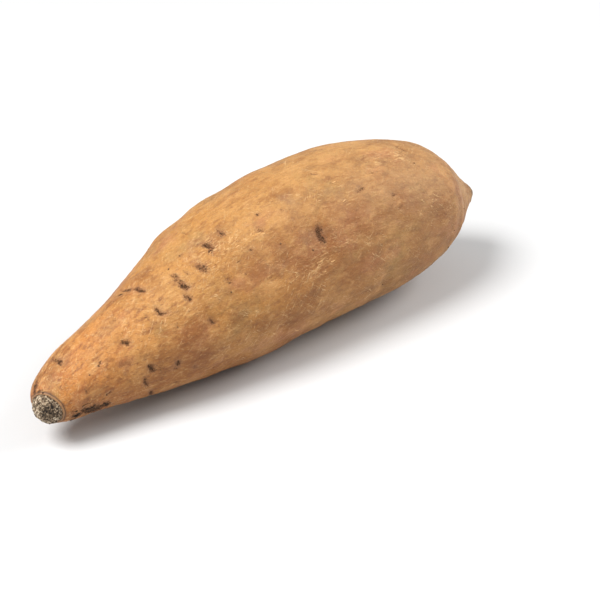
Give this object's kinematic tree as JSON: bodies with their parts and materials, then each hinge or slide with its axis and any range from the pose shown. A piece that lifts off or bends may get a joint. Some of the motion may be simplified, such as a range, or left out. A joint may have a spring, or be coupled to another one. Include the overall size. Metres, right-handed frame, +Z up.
{
  "type": "white sweet potato",
  "caption": "Whole raw white sweet potato with tan skin, an elongated tapering root with a corky stem scar and a pointed root tip, lying on its belly.",
  "frame": {"origin": "under the middle of the root's bounding box, on the surface that it rests on", "axes": "+X along the root, from the stem end to the root tip; +Z up"},
  "size_m": [0.2224, 0.0644, 0.0653],
  "materials": {
    "skin": "matte, slightly waxy tan skin with dark corky scars"
  },
  "bodies": {
    "root": {"tuber": "skin"}
  },
  "joints": []
}
